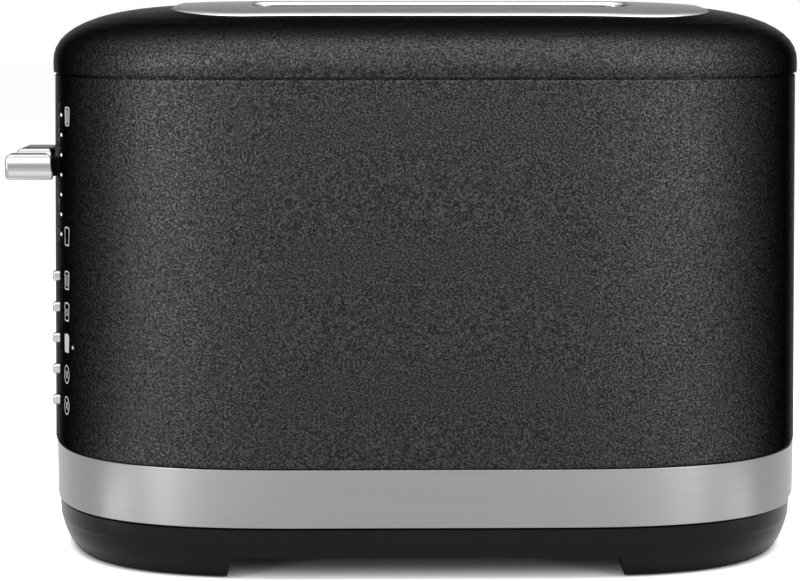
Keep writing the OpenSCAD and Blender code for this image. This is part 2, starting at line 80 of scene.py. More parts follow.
class ToasterShape(bpy.types.PropertyGroup):
    """Sizes of the shells"""

    half_length: bpy.props.FloatProperty(
        name="Half length", description="Half the body's length at the lid seam",
        default=140 * MM, unit="LENGTH")
    half_width: bpy.props.FloatProperty(
        name="Half width", description="Half the body's width at the lid seam",
        default=97.5 * MM, unit="LENGTH")
    half_straight: bpy.props.FloatProperty(
        name="Half straight", description="Half the straight stretch of each long side",
        default=36.6 * MM, unit="LENGTH")
    plan_power: bpy.props.FloatProperty(
        name="Plan power", description="Exponent of the rounded plan outline", default=3.0)
    flare: bpy.props.FloatProperty(
        name="Flare", description="How far the body widens from the seam to the band",
        default=2.2 * MM, unit="LENGTH")
    seam_z: bpy.props.FloatProperty(
        name="Seam height", description="Height of the seam under the lid",
        default=179 * MM, unit="LENGTH")
    wall: bpy.props.FloatProperty(
        name="Wall", description="Sheet thickness of body and lid", default=1.2 * MM, unit="LENGTH")
    overhang: bpy.props.FloatProperty(
        name="Lid overhang", description="How far the lid stands out over the body",
        default=0.6 * MM, unit="LENGTH")
    lid_edge: bpy.props.FloatProperty(
        name="Lid edge", description="Height of the lid's upright edge",
        default=4.3 * MM, unit="LENGTH")
    lid_crown: bpy.props.FloatProperty(
        name="Lid crown", description="Height of the lid's crown above its edge",
        default=21.4 * MM, unit="LENGTH")
    crown_power_x: bpy.props.FloatProperty(
        name="Crown power along", description="Exponent of the crown's height along the toaster",
        default=2.2)
    crown_reach_x: bpy.props.FloatProperty(
        name="Crown reach along", description="Exponent of the crown's length along the toaster",
        default=6.2)
    crown_power_y: bpy.props.FloatProperty(
        name="Crown power across", description="Exponent of the crown across the toaster", default=2.5)
    plate_lift: bpy.props.FloatProperty(
        name="Plate lift", description="How far the slot plate stands above the lid",
        default=0.8 * MM, unit="LENGTH")
    plate_radius: bpy.props.FloatProperty(
        name="Plate corner", description="Corner radius of the slot plate",
        default=32 * MM, unit="LENGTH")
    slot_length: bpy.props.FloatProperty(
        name="Slot length", description="Length of a bread slot", default=140 * MM, unit="LENGTH")
    slot_width: bpy.props.FloatProperty(
        name="Slot width", description="Width of a bread slot", default=33 * MM, unit="LENGTH")
    slot_offset: bpy.props.FloatProperty(
        name="Slot offset", description="Distance of a slot from the middle plane",
        default=31.5 * MM, unit="LENGTH")
    slot_radius: bpy.props.FloatProperty(
        name="Slot corner", description="Corner radius of a bread slot", default=6 * MM, unit="LENGTH")
    band_shift: bpy.props.FloatProperty(
        name="Band shift", description="How far the band sits to the rear", default=0.5 * MM,
        unit="LENGTH")


class ToasterFinish(bpy.types.PropertyGroup):
    """Colours of the visible finishes"""

    paint: bpy.props.FloatVectorProperty(
        name="Paint", description="Textured black paint of the body and lid",
        default=(0.0200, 0.0200, 0.0197), size=3, subtype="COLOR")
    # The grain's lighter tops are a painted highlight on the paint's grain
    grain_top_highlight: bpy.props.FloatVectorProperty(
        name="Paint grain", description="Lighter tops of the paint's grain",
        default=(0.049, 0.049, 0.048), size=3, subtype="COLOR")
    band: bpy.props.FloatVectorProperty(
        name="Band", description="Brushed steel of the band", default=(0.205, 0.205, 0.201),
        size=3, subtype="COLOR")
    knob: bpy.props.FloatVectorProperty(
        name="Knobs", description="Satin chrome of knobs and buttons", default=(0.30, 0.30, 0.297),
        size=3, subtype="COLOR")
    base: bpy.props.FloatVectorProperty(
        name="Base", description="Black plastic of the base", default=(0.004, 0.004, 0.004),
        size=3, subtype="COLOR")
    print_white: bpy.props.FloatVectorProperty(
        name="Print", description="Printed marks on the body", default=(0.90, 0.90, 0.89),
        size=3, subtype="COLOR")


def shape():
    return bpy.context.scene.toaster_shape


def finish():
    return bpy.context.scene.toaster_finish


# ---------------------------------------------------------------- outline formulas

def plan_point(t, out=0.0):
    """Point of the plan outline at parameter t, moved outward by out, about the body's middle"""
    s = shape()
    p = 2 / s.plan_power
    c, n = math.cos(t), math.sin(t)
    x = math.copysign(abs(c) ** p, c) * (s.half_length - s.half_straight + out)
    y = math.copysign(abs(n) ** p, n) * (s.half_width + out)
    return x + math.copysign(s.half_straight, c) * (1 if abs(c) > 1e-6 else 0), y


def end_wall(y, out=0.0):
    """Distance from the middle plane to the end wall at width y"""
    s = shape()
    q = min(1.0, abs(y) / (s.half_width + out))
    return s.half_straight + (s.half_length - s.half_straight + out) * (
        1 - q ** s.plan_power) ** (1 / s.plan_power)


def flare_at(z):
    s = shape()
    return s.flare * (s.seam_z - z) / (s.seam_z - BAND_HIGH.z)


def crown_scale(f):
    s = shape()
    return (
        max(0.0, 1 - f ** s.crown_power_x) ** (1 / s.crown_reach_x),
        max(0.0, 1 - f ** s.crown_power_y) ** (1 / s.crown_power_y),
    )


def crown_fraction(x, y):
    """Fraction of the crown's height above the plan point (x, y) about the body's middle"""
    s = shape()
    out = s.overhang
    low, high = 0.0, 1.0
    for _ in range(26):
        mid = (low + high) / 2
        sx, sy = crown_scale(mid)
        if sx < 1e-9 or sy < 1e-9:
            high = mid
            continue
        px, py = abs(x) / sx, abs(y) / sy
        over = max(0.0, px - s.half_straight) / (s.half_length - s.half_straight + out)
        inside = over ** s.plan_power + (py / (s.half_width + out)) ** s.plan_power < 1
        low, high = (mid, high) if inside else (low, mid)
    return (low + high) / 2


def crown_z(x, y, lift=0.0):
    s = shape()
    return s.seam_z + s.lid_edge + crown_fraction(x, y) * (s.lid_crown + lift)


def rounded_rect(width, height, radius, steps=10, straights=(0, 0)):
    """Closed outline of a rounded rectangle, with extra points along its straight stretches"""
    points = []
    for quarter in range(4):
        sx = 1 if quarter in (0, 3) else -1
        sy = 1 if quarter < 2 else -1
        cx, cy = sx * (width / 2 - radius), sy * (height / 2 - radius)
        arc = []
        for i in range(steps + 1):
            a = math.pi / 2 * (quarter + i / steps)
            arc.append((cx + radius * math.cos(a), cy + radius * math.sin(a)))
        points += arc
        (x0, y0), turn = arc[-1], quarter % 2
        x1, y1 = (-x0, y0) if turn == 0 else (x0, -y0)
        extra = straights[turn]
        points += [
            (x0 + (x1 - x0) * k / (extra + 1), y0 + (y1 - y0) * k / (extra + 1))
            for k in range(1, extra + 1)
        ]
    return points


# ---------------------------------------------------------------- mesh helpers

def mesh_object(name, bm, material, sharp=32.0):
    """Makes an object of a bmesh, smooth but for its edges sharper than an angle"""
    bmesh.ops.remove_doubles(bm, verts=bm.verts, dist=0.5e-6)
    bmesh.ops.recalc_face_normals(bm, faces=bm.faces)
    limit = math.radians(sharp)
    for edge in bm.edges:
        if len(edge.link_faces) == 2:
            edge.smooth = edge.calc_face_angle(0) < limit
    for face in bm.faces:
        face.smooth = True
    mesh = bpy.data.meshes.new(name)
    bm.to_mesh(mesh)
    bm.free()
    mesh.materials.append(material)
    obj = bpy.data.objects.new(name, mesh)
    bpy.context.collection.objects.link(obj)
    return obj


def place_piece(obj, body, nodes=()):
    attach(obj, body)
    if nodes:
        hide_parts(*nodes)
    return obj


def apply_modifiers(obj):
    bpy.context.view_layer.objects.active = obj
    for modifier in list(obj.modifiers):
        bpy.ops.object.modifier_apply(modifier=modifier.name)


def bevel(obj, width, segments=3, angle=30.0):
    modifier = obj.modifiers.new("Bevel", "BEVEL")
    modifier.width = width
    modifier.segments = segments
    modifier.limit_method = "ANGLE"
    modifier.angle_limit = math.radians(angle)
    modifier.harden_normals = True
    apply_modifiers(obj)


def cut(obj, cutter):
    modifier = obj.modifiers.new("Cut", "BOOLEAN")
    modifier.operation = "DIFFERENCE"
    modifier.solver = "EXACT"
    modifier.object = cutter
    apply_modifiers(obj)
    bpy.data.objects.remove(cutter)


def skin(bm, rows, closed=True, skip=None):
    """Joins rows of points into quads; skip(row, column) leaves a cell open"""
    grid = [[bm.verts.new(point) for point in row] for row in rows]
    columns = len(grid[0])
    last = columns if closed else columns - 1
    for r in range(len(grid) - 1):
        for c in range(last):
            if skip and skip(r, c):
                continue
            d = (c + 1) % columns
            bm.faces.new((grid[r][c], grid[r][d], grid[r + 1][d], grid[r + 1][c]))
    return grid


def prism(bm, outline, place, depth_low, depth_high):
    """Closed prism over a flat outline; place(u, v, depth) gives each point"""
    low = [bm.verts.new(place(u, v, depth_low)) for u, v in outline]
    high = [bm.verts.new(place(u, v, depth_high)) for u, v in outline]
    bm.faces.new(low[::-1])
    bm.faces.new(high)
    count = len(outline)
    for i in range(count):
        j = (i + 1) % count
        bm.faces.new((low[i], low[j], high[j], high[i]))


# ---------------------------------------------------------------- material helpers

def set_inputs(owner, node, inputs):
    """Links a node's inputs to sockets, and sets plain values on the inputs themselves"""
    for key, value in inputs.items():
        if isinstance(value, bpy.types.NodeSocket):
            owner.node_tree.links.new(value, node.inputs[key])
        else:
            node.inputs[key].default_value = value


def add_node(owner, kind, inputs=None, **settings):
    """Adds a node to a material or to the world"""
    node = owner.node_tree.nodes.new(kind)
    for key, value in settings.items():
        setattr(node, key, value)
    set_inputs(owner, node, inputs or {})
    return node


def new_material(name):
    material = bpy.data.materials.new(name)
    material.use_nodes = True
    material.node_tree.nodes.clear()
    shader = add_node(material, "ShaderNodeBsdfPrincipled")
    add_node(material, "ShaderNodeOutputMaterial", {"Surface": shader.outputs["BSDF"]})
    return material, shader


def object_coordinates(material, scale=(1.0, 1.0, 1.0)):
    coordinates = add_node(material, "ShaderNodeTexCoord")
    inputs = {"Vector": coordinates.outputs["Object"], "Scale": scale}
    return add_node(material, "ShaderNodeMapping", inputs).outputs["Vector"]


def noise(material, vector, scale, detail=2.0, roughness=0.5):
    inputs = {"Vector": vector, "Scale": scale, "Detail": detail, "Roughness": roughness}
    return add_node(material, "ShaderNodeTexNoise", inputs).outputs["Fac"]


def cells(material, scale):
    inputs = {"Vector": object_coordinates(material), "Scale": scale}
    return add_node(material, "ShaderNodeTexVoronoi", inputs)


def ramp(material, factor, *stops):
    """Colour ramp through stops of (position, colour)"""
    node = add_node(material, "ShaderNodeValToRGB", {"Fac": factor})
    elements = node.color_ramp.elements
    while len(elements) < len(stops):
        elements.new(0.5)
    for element, (position, colour) in zip(elements, stops):
        element.position = position
        element.color = (*colour, 1.0)
    return node.outputs["Color"]


def remap(material, value, low, high, from_low=0.0, from_high=1.0):
    inputs = {"Value": value, "From Min": from_low, "From Max": from_high, "To Min": low, "To Max": high}
    return add_node(material, "ShaderNodeMapRange", inputs).outputs["Result"]


def arithmetic(owner, operation, *values):
    """One math node; its values may be sockets or numbers"""
    return add_node(owner, "ShaderNodeMath", dict(enumerate(values)), operation=operation).outputs[0]


def add_bump(material, shader, height, strength, distance):
    inputs = {"Height": height, "Strength": strength, "Distance": distance}
    bump = add_node(material, "ShaderNodeBump", inputs)
    set_inputs(material, shader, {"Normal": bump.outputs["Normal"]})


def grey(value):
    return (value, value, value)


def opaque_grey(value):
    return (value, value, value, 1.0)


def toned(colour, factor):
    """The colour made darker or lighter, at most white"""
    return tuple(min(1.0, factor * c) for c in colour)


def mixed_grey(owner, factor, low, high):
    """Goes from one grey to another as the factor goes from 0 to 1"""
    colour_a, colour_b, colour_result = 6, 7, 2
    inputs = {0: factor, colour_a: opaque_grey(low), colour_b: opaque_grey(high)}
    return add_node(owner, "ShaderNodeMix", inputs, data_type="RGBA").outputs[colour_result]


def seen_rays(owner):
    """1 for rays from the camera, off a glossy surface or through glass, and 0 for matt light"""
    path = add_node(owner, "ShaderNodeLightPath").outputs
    outside = arithmetic(owner, "MAXIMUM", path["Is Camera Ray"], path["Is Glossy Ray"])
    return arithmetic(owner, "MAXIMUM", outside, path["Is Transmission Ray"])


# ---------------------------------------------------------------- finishes

def grained_paint():
    """Textured black paint: a fine pebbled grain, its colour darker in the pits as painted shade and lighter
    on the tops as painted highlight, dark at grazing angles
    """
    material, shader = new_material("grained_paint")
    colours = finish()
    vector = object_coordinates(material)
    grain = noise(material, vector, scale=1350.0, detail=3.0, roughness=0.65)
    pits = noise(material, vector, scale=2600.0, detail=1.0)
    pit_share = 0.4
    height = arithmetic(material, "MULTIPLY_ADD", pits, pit_share, grain)
    # The colour follows the grain's height: darker in its pits as painted shade, lighter on its tops as
    # painted highlight
    set_inputs(material, shader, {
        "Base Color": ramp(material, height, (0.56, toned(colours.paint, 0.38)), (0.70, colours.paint),
                           (0.86, colours.grain_top_highlight)),
        "Roughness": remap(material, height, low=0.34, high=0.22, from_low=0.55, from_high=0.85),
        "Metallic": 1.0,
        "Specular IOR Level": 0.0,
        "Specular Tint": opaque_grey(0.07),
    })
    add_bump(material, shader, height, strength=0.9, distance=0.24 * MM)
    return material


def brushed_steel(name, colour, rough):
    """Metal brushed in fine level lines, which spread its gloss across them"""
    material, shader = new_material(name)
    lines = noise(material, object_coordinates(material, (5.0, 5.0, 1400.0)), 1.0, detail=3.0, roughness=0.6)
    broad = noise(material, object_coordinates(material, (7.0, 7.0, 40.0)), 1.0)
    tangent = add_node(material, "ShaderNodeTangent", direction_type="RADIAL", axis="Z")
    set_inputs(material, shader, {
        "Base Color": ramp(material, lines, (0.30, toned(colour, 0.975)), (0.70, toned(colour, 1.02))),
        "Metallic": 1.0,
        "Roughness": remap(material, broad, rough - 0.02, rough + 0.02),
        "Anisotropic": 0.4,
        "Anisotropic Rotation": 0.25,
        "Tangent": tangent.outputs["Tangent"],
    })
    add_bump(material, shader, lines, strength=0.05, distance=0.02 * MM)
    return material


def satin_metal(name, colour, rough, edge=1.0):
    """Fine satin plating with a faint tumbled grain; a low edge keeps it dark at grazing angles"""
    material, shader = new_material(name)
    vector = object_coordinates(material)
    grain = noise(material, vector, scale=2600.0)
    smear = noise(material, vector, scale=90.0)
    set_inputs(material, shader, {
        "Base Color": ramp(material, grain, (0.25, toned(colour, 0.96)), (0.75, toned(colour, 1.03))),
        "Metallic": 1.0,
        "Roughness": remap(material, smear, rough - 0.03, rough + 0.04),
        "Specular Tint": opaque_grey(edge),
    })
    add_bump(material, shader, grain, strength=0.05, distance=0.01 * MM)
    return material


def moulded_plastic(name, colour, rough, grain_scale=1800.0, gloss=0.4):
    """Moulded plastic with a fine spark-eroded grain"""
    material, shader = new_material(name)
    vector = object_coordinates(material)
    grain = noise(material, vector, grain_scale)
    cloud = noise(material, vector, scale=24.0)
    set_inputs(material, shader, {
        "Base Color": ramp(material, cloud, (0.3, toned(colour, 0.92)), (0.7, toned(colour, 1.08))),
        "Roughness": remap(material, grain, rough - 0.04, rough + 0.04),
        "Specular IOR Level": gloss,
    })
    add_bump(material, shader, grain, strength=0.2, distance=0.03 * MM)
    return material


def galvanised_sheet():
    """Zinc-coated sheet with a soft spangle"""
    material, shader = new_material("galvanised_sheet")
    colour = (0.42, 0.43, 0.44)
    spangle = cells(material, scale=120.0).outputs["Distance"]
    set_inputs(material, shader, {
        "Base Color": ramp(material, spangle, (0.0, toned(colour, 0.85)), (0.6, toned(colour, 1.1))),
        "Metallic": 1.0,
        "Roughness": remap(material, spangle, 0.32, 0.46),
    })
    return material


def mica_sheet():
    """Pressed mica board: pale brown flakes"""
    material, shader = new_material("mica_sheet")
    flakes = cells(material, scale=260.0).outputs
    dark, pale = (0.40, 0.33, 0.22), (0.58, 0.51, 0.36)
    set_inputs(material, shader, {
        "Base Color": ramp(material, flakes["Color"], (0.2, dark), (0.8, pale)),
        "Roughness": remap(material, flakes["Distance"], 0.35, 0.55),
    })
    return material


def printed_ink(name, strength):
    """Pale silver print, slightly broken by the paint's grain"""
    material, shader = new_material(name)
    colour = toned(finish().print_white, strength)
    grain = noise(material, object_coordinates(material), scale=1150.0)
    set_inputs(material, shader, {
        "Base Color": ramp(material, grain, (0.30, toned(colour, 0.85)), (0.55, colour)),
        "Roughness": remap(material, grain, 0.5, 0.65),
    })
    return material


FINISHES = {}


def finish_named(key):
    """Each finish is made once and shared"""
    colours = finish()
    makers = {
        "paint": grained_paint,
        "band": lambda: brushed_steel("brushed_band_steel", colours.band, rough=0.38),
        "plate": lambda: satin_metal("slot_plate_steel", (0.54, 0.54, 0.53), rough=0.26, edge=0.21),
        "knob": lambda: satin_metal("satin_chrome", colours.knob, rough=0.20, edge=0.1),
        "button": lambda: satin_metal("satin_button", colours.knob, rough=0.24, edge=0.1),
        "base": lambda: moulded_plastic("base_plastic", colours.base, rough=0.30, gloss=0.09),
        # Near-black matt finish: painted shade on the slot throats, and the black plastic of the browning
        # slider's stem
        "black_and_painted_shade": lambda: moulded_plastic(
            "painted_shade_black", grey(0.003), rough=0.8, grain_scale=700.0, gloss=0.04),
        "rubber": lambda: moulded_plastic("foot_rubber", grey(0.015), rough=0.75, grain_scale=900.0),
        "zinc": lambda: satin_metal("zinc_plate", (0.55, 0.56, 0.57), rough=0.34),
        "sheet": galvanised_sheet,
        "wire": lambda: satin_metal("bright_wire", grey(0.60), rough=0.25),
        "mica": mica_sheet,
        "ribbon": lambda: satin_metal("oxidised_ribbon", (0.26, 0.23, 0.21), rough=0.45),
        "board": lambda: moulded_plastic("solder_mask", (0.03, 0.14, 0.07), rough=0.35),
        "blue": lambda: moulded_plastic("relay_blue", (0.02, 0.07, 0.25), rough=0.3),
        "pale": lambda: moulded_plastic("pale_plastic", (0.70, 0.70, 0.66), rough=0.45),
        "dark": lambda: moulded_plastic("dark_plastic", grey(0.035), rough=0.5),
        "iron": lambda: satin_metal("laminated_iron", grey(0.25), rough=0.5),
        "copper": lambda: brushed_steel("copper_winding", (0.50, 0.19, 0.09), rough=0.35),
        "brass": lambda: satin_metal("turned_brass", (0.62, 0.44, 0.17), rough=0.28),
        "ink": lambda: printed_ink("printed_ink", strength=0.45),
        "bright_ink": lambda: printed_ink("bright_ink", strength=1.0),
    }
    if key not in FINISHES:
        FINISHES[key] = makers[key]()
    return FINISHES[key]


# ---------------------------------------------------------------- shells

def at_middle(x, y, z):
    return Vector((x + CENTRE_X, y, z))


def round_angles(steps):
    """Angles once round the outline, half a step off its axes"""
    return [2 * math.pi * (i + 0.5) / steps for i in range(steps)]


def plan_row(angles, out, z):
    """Points of the plan outline, moved outward by out, at one height"""
    return [at_middle(*plan_point(t, out), z) for t in angles]


def shell_columns(extra=()):
    """Widths at the seam, as (side, y), going once round the outline with more points in the corners"""
    s = shape()
    steps, spare = 44, 0.7 * MM
    half = {s.half_width * math.sin(math.pi / 2 * i / steps) ** (2 / s.plan_power) for i in range(steps + 1)}
    rear = sorted(half | {-y for y in half})
    front = sorted(set(extra) | {y for y in rear if all(abs(y - e) > spare for e in extra)})
    return [(1, y) for y in rear] + [(-1, y) for y in reversed(front)]


def shell_point(side, y, z, out):
    """Point of the body's wall; near the middle of an end the width keeps its value at all heights"""
    s = shape()
    kept = 60 * MM
    scaled = y * (s.half_width + out) / s.half_width
    blend = min(1.0, max(0.0, (abs(y) - kept) / (s.half_width - kept)))
    width = y + (scaled - y) * blend * blend * (3 - 2 * blend)
    if abs(y) > s.half_width - 1e-7:
        width = math.copysign(s.half_width + out, y)
    return at_middle(side * end_wall(width, out), width, z)


def body_openings():
    """Windows in the front wall for lever, slider and buttons, as (low y, high y, low z, high z)"""
    lever_z, column = box_centre("lever_knob").z, box_centre("button_1").y
    lever_half, lever_down, lever_up = 2.5 * MM, 80 * MM, 24 * MM
    slider_half, slider_low, slider_high = 2.2 * MM, 116.5 * MM, 168.8 * MM
    button_half = 2.15 * MM
    windows = [
        (-lever_half, lever_half, lever_z - lever_down, lever_z + lever_up),
        (column - slider_half, column + slider_half, slider_low, slider_high),
    ]
    for i in range(1, 6):
        z = box_centre(f"button_{i}").z
        windows.append((column - button_half, column + button_half, z - button_half, z + button_half))
    return windows


def wall_skin(bm, columns, rows, windows):
    """Skins the body's wall through rows of (height, distance out), open at the windows"""

    def is_open(r, c):
        (side, y), (next_side, next_y) = columns[c], columns[(c + 1) % len(columns)]
        if side > 0 or next_side > 0:
            return False
        middle_y, middle_z = (y + next_y) / 2, (rows[r][0] + rows[r + 1][0]) / 2
        return any(y0 < middle_y < y1 and z0 < middle_z < z1 for y0, y1, z0, z1 in windows)

    points = [[shell_point(side, y, z, flare_at(z) + out) for side, y in columns] for z, out in rows]
    skin(bm, points, skip=is_open)


def make_body_shell():
    """Flared sheet body with turned-in edges and the windows of lever, slider and buttons"""
    s = shape()
    windows = body_openings()
    columns = shell_columns({y for w in windows for y in w[:2]})
    low, high = SHELL_LOW.z, SHELL_HIGH.z
    sills = sorted({z for w in windows for z in w[2:]})
    courses, spare = 24, 1.2 * MM
    heights = [low + (high - low) * i / courses for i in range(1, courses)]
    heights = [z for z in heights if all(abs(z - sill) > spare for sill in sills)] + sills
    foot, rim, nick = 0.8 * MM, 0.45 * MM, 0.13 * MM
    rows = [(low, -s.wall), (low, -foot), (low + 0.3 * foot, -0.3 * foot), (low + foot, 0.0),
            (low + 2 * foot, 0.0)]
    rows += [(z, 0.0) for z in sorted(heights)]
    rows += [(high - 2 * rim, 0.0), (high - rim, 0.0), (high - nick, -nick), (high, -rim), (high, -s.wall)]
    bm = bmesh.new()
    wall_skin(bm, columns, rows, windows)
    for y0, y1, z0, z1 in windows:
        corners = [shell_point(-1, y, z, flare_at(z)) for y, z in ((y0, z0), (y1, z0), (y1, z1), (y0, z1))]
        for i in range(4):
            a, b = corners[i], corners[(i + 1) % 4]
            inward = Vector((s.wall, 0, 0))
            bm.faces.new([bm.verts.new(p) for p in (a, b, b + inward, a + inward)])
    wall_skin(bm, columns, [(z, -s.wall) for z in (low, *sills, high)], windows)
    obj = mesh_object("body_shell_skin", bm, finish_named("paint"))
    return place_piece(obj, "housing", ["body_shell"])


def plate_hit(x, y, grow=0.0):
    """Where the line from the plate's middle to (x, y) crosses the plate's outline"""
    half_l = (PLATE_HIGH.x - PLATE_LOW.x) / 2 + grow
    half_w = (PLATE_HIGH.y - PLATE_LOW.y) / 2 + grow
    radius = shape().plate_radius + grow
    dx = x - PLATE_MIDDLE_X
    low, high = 0.0, 1.0
    for _ in range(30):
        k = (low + high) / 2
        qx, qy = abs(dx * k) - (half_l - radius), abs(y * k) - (half_w - radius)
        reach = math.hypot(max(qx, 0), max(qy, 0)) + min(max(qx, qy), 0)
        low, high = (k, high) if reach < radius else (low, k)
    return PLATE_MIDDLE_X + dx * low, y * low


def make_top_cover():
    """Lid: an upright edge, a crown that ends under the slot plate, and a lip inside the body"""
    s = shape()
    out = s.overhang
    angles = round_angles(200)
    edge_low, rim = s.seam_z + 0.3 * MM, 0.5 * MM
    edge = ((edge_low + 0.2 * MM, -1.2 * MM), (edge_low, -0.6 * MM), (edge_low + 0.12 * MM, -0.14 * MM),
            (edge_low + rim, 0.0))
    rows = [plan_row(angles, out + shift, z) for z, shift in edge]
    close_to_edge = [1 - (1 - k / 12) ** 1.6 for k in range(8)]
    for f in close_to_edge:
        sx, sy = crown_scale(f)
        z = s.seam_z + s.lid_edge + f * s.lid_crown
        rows.append([at_middle(px * sx, py * sy, z) for px, py in (plan_point(t, out) for t in angles)])
    shoulder = [(p.x - CENTRE_X, p.y) for p in rows[-1]]
    crown_rows, under_plate = 12, 2.5 * MM
    for k in range(1, crown_rows + 1):
        blend = k / crown_rows
        row = []
        for x, y in shoulder:
            hx, hy = plate_hit(x, y, -under_plate)
            qx, qy = x + (hx - x) * blend, y + (hy - y) * blend
            row.append(at_middle(qx, qy, crown_z(qx, qy)))
        rows.append(row)
    bm = bmesh.new()
    skin(bm, rows)
    lip_top, lip_low = s.seam_z + 2 * MM, s.seam_z - 7 * MM
    lip = ((lip_top, 1.6), (lip_low + 0.2 * MM, 1.6), (lip_low, 1.9), (lip_low, 2.8), (lip_top, 2.8))
    skin(bm, [plan_row(angles, -inset * MM, z) for z, inset in lip])
    obj = mesh_object("top_cover_skin", bm, finish_named("paint"))
    return place_piece(obj, "housing", ["top_cover"])


# Rolled edges of the slot plate, as (distance out from the outline, height above the plate's face) in mm
PLATE_RIM = (
    (-3.6, 0.0), (-3.0, -0.01), (-2.4, -0.04), (-1.9, -0.10), (-1.4, -0.19), (-0.95, -0.32), (-0.55, -0.49),
    (-0.25, -0.68), (-0.07, -0.86), (0.0, -1.05),
)
SLOT_LIP = (
    (2.2, 0.0), (1.7, -0.02), (1.25, -0.08), (0.85, -0.19), (0.5, -0.36), (0.24, -0.58), (0.07, -0.85),
    (0.0, -1.2), (0.0, -1.5), (0.0, -12.0),
)


def drape(x, y, lift):
    """Point above the crown, no higher than the plate's box"""
    return at_middle(x, y, min(crown_z(x, y) + lift, PLATE_HIGH.z))


def rolled_edge(bm, profile, length, width, radius, middle_y, steps, straights):
    """Skins the rim of the plate or the lip and throat of a slot, laid on the crown"""
    rows = []
    for out, height in profile:
        d, lift = out * MM, shape().plate_lift + height * MM
        outline = rounded_rect(length + 2 * d, width + 2 * d, radius + d, steps, straights)
        rows.append([drape(x + PLATE_MIDDLE_X, y + middle_y, lift) for x, y in outline])
    return skin(bm, rows)


def line_throat(bm, grid, middle_y):
    """Gives the straight walls below a slot's lip the plate's second material, a near-black finish that
    paints the shade inside the slot
    """
    s = shape()
    lip = grid[-2]
    for low, high in zip(lip, lip[1:] + lip[:1]):
        for face in bm.edges.get((low, high)).link_faces:
            middle = face.calc_center_median()
            over_x = abs(middle.x - CENTRE_X - PLATE_MIDDLE_X) - (s.slot_length / 2 - s.slot_radius)
            over_y = abs(middle.y - middle_y) - (s.slot_width / 2 - s.slot_radius)
            if middle.z < low.co.z - 1 * MM and not (over_x > 0 and over_y > 0):
                face.material_index = 1


def add_land(bm, loops):
    """Fills the plate between its rim and its slots, cut fine enough to follow the crown"""
    flat = bmesh.new()
    edges = []
    for loop in loops:
        verts = [flat.verts.new((v.co.x, v.co.y, 0)) for v in loop]
        edges += [flat.edges.new((verts[i], verts[(i + 1) % len(verts)])) for i in range(len(verts))]
    bmesh.ops.triangle_fill(flat, edges=edges, use_beauty=True)
    for axis, step in ((0, 4 * MM), (1, 3 * MM)):
        low, high = PLATE_LOW[axis], PLATE_HIGH[axis]
        count = int((high - low) / step)
        for i in range(1, count):
            origin, normal = Vector((0, 0, 0)), Vector((0, 0, 0))
            origin[axis] = low + (high - low) * i / count
            normal[axis] = 1
            bmesh.ops.bisect_plane(flat, geom=flat.verts[:] + flat.edges[:] + flat.faces[:],
                                   dist=1e-7, plane_co=origin, plane_no=normal)
    for vert in flat.verts:
        vert.co.z = drape(vert.co.x - CENTRE_X, vert.co.y, shape().plate_lift).z
    patch = bpy.data.meshes.new("land")
    flat.to_mesh(patch)
    flat.free()
    bm.from_mesh(patch)
    bpy.data.meshes.remove(patch)


def make_slot_bezel():
    """Slot plate with a rolled rim and two slots with rolled lips and throats painted near-black as the
    shade inside them
    """
    s = shape()
    bm = bmesh.new()
    length, width = PLATE_HIGH.x - PLATE_LOW.x, PLATE_HIGH.y - PLATE_LOW.y
    rim = rolled_edge(bm, PLATE_RIM, length, width, s.plate_radius, middle_y=0.0,
                      steps=12, straights=(24, 12))
    loops = [rim[0]]
    for middle_y in (-s.slot_offset, s.slot_offset):
        lip = rolled_edge(bm, SLOT_LIP, s.slot_length, s.slot_width, s.slot_radius, middle_y,
                          steps=6, straights=(30, 6))
        loops.append(lip[0])
        line_throat(bm, lip, middle_y)
    add_land(bm, loops)
    obj = mesh_object("slot_bezel_plate", bm, finish_named("plate"), sharp=50)
    # The throats' near-black is painted shade of the toaster's inside
    obj.data.materials.append(finish_named("black_and_painted_shade"))
    return place_piece(obj, "housing", ["slot_bezel"])


def band_rows(out, low, high, thickness, rim):
    """Section of a strip with rounded edges and turned-in flanges, as (height, distance out)"""
    return [
        (low + rim, out - thickness), (low, out - thickness + 0.1 * MM), (low, out - rim),
        (low + 0.3 * rim, out - 0.3 * rim), (low + rim, out), (low + 1.6 * rim, out),
        (high - 1.6 * rim, out), (high - rim, out), (high - 0.3 * rim, out - 0.3 * rim), (high, out - rim),
        (high, out - thickness + 0.1 * MM), (high - rim, out - thickness),
    ]


def band_strip(columns, section, backed=False):
    """Strip along the foot of the body with closed ends, and a back where it has one"""
    shift = Vector((shape().band_shift, 0, 0))
    rows = [[shell_point(side, y, z, out) + shift for side, y in columns] for z, out in section]
    bm = bmesh.new()
    grid = skin(bm, rows + rows[:1] if backed else rows, closed=False)
    for column in (0, -1):
        bm.faces.new([row[column] for row in grid[:len(rows)]])
    return bm


def make_band():
    """Brushed strip round the foot of the body, open at the rear for the tray's panel"""
    gap = PANEL_HIGH.y + 0.4 * MM
    out = (BAND_HIGH.y - BAND_LOW.y) / 2 - shape().half_width
    kept = [c for c in shell_columns() if not (c[0] > 0 and abs(c[1]) < gap)]
    start = next(i for i, (side, y) in enumerate(kept) if side > 0 and y > 0)
    columns = [(1, gap)] + kept[start:] + kept[:start] + [(1, -gap)]
    section = band_rows(out, BAND_LOW.z, BAND_HIGH.z, thickness=1.2 * MM, rim=0.16 * MM)
    obj = mesh_object("steel_band_strip", band_strip(columns, section), finish_named("band"))
    return place_piece(obj, "housing", ["steel_band"])


